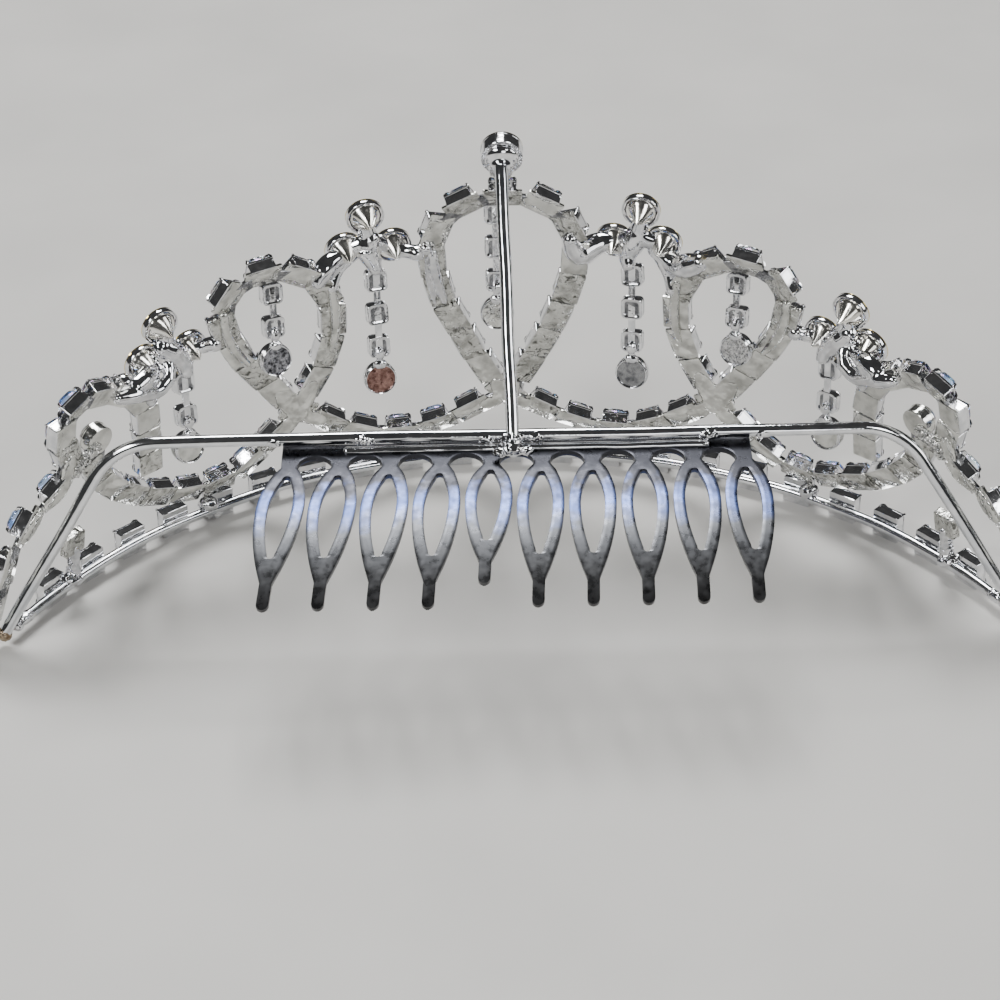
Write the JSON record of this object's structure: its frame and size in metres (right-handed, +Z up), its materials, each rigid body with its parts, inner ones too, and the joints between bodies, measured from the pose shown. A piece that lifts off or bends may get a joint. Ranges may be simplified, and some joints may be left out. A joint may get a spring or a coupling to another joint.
{
  "type": "comb tiara",
  "caption": "Low curved tiara of pear-shaped and scalloped stone-set scrolls with hanging drops, a base band, a back wire and a hair comb.",
  "frame": {"origin": "on the surface it stands on, under the middle of its bounding box", "axes": "+X towards the wearer's left, -Y the way the stones face, +Z up"},
  "size_m": [0.1096, 0.0497, 0.0453],
  "materials": {
    "plated_metal": "bright silver plate over soldered brass cups and wire",
    "comb_steel": "stamped sheet, thin bright plate",
    "clear_stone": "clear cut glass"
  },
  "bodies": {
    "root": {"base_band": "plated_metal", "base_stones": "clear_stone", "back_wire": "plated_metal", "brace": "plated_metal", "comb": "comb_steel", "centre_scroll": "plated_metal", "left_scroll": "plated_metal", "right_scroll": "plated_metal", "left_curl": "plated_metal", "right_curl": "plated_metal", "centre_scroll_stones": "clear_stone", "left_scroll_stones": "clear_stone", "right_scroll_stones": "clear_stone", "left_curl_stones": "clear_stone", "right_curl_stones": "clear_stone", "top_setting": "plated_metal", "top_stone": "clear_stone", "left_inner_flower": "plated_metal", "right_inner_flower": "plated_metal", "left_outer_flower": "plated_metal", "right_outer_flower": "plated_metal", "left_inner_flower_stones": "clear_stone", "right_inner_flower_stones": "clear_stone", "left_outer_flower_stones": "clear_stone", "right_outer_flower_stones": "clear_stone", "centre_drop": "plated_metal", "left_inner_drop": "plated_metal", "right_inner_drop": "plated_metal", "left_pear_drop": "plated_metal", "right_pear_drop": "plated_metal", "left_outer_drop": "plated_metal", "right_outer_drop": "plated_metal", "centre_drop_stones": "clear_stone", "left_inner_drop_stones": "clear_stone", "right_inner_drop_stones": "clear_stone", "left_pear_drop_stones": "clear_stone", "right_pear_drop_stones": "clear_stone", "left_outer_drop_stones": "clear_stone", "right_outer_drop_stones": "clear_stone"}
  },
  "joints": []
}
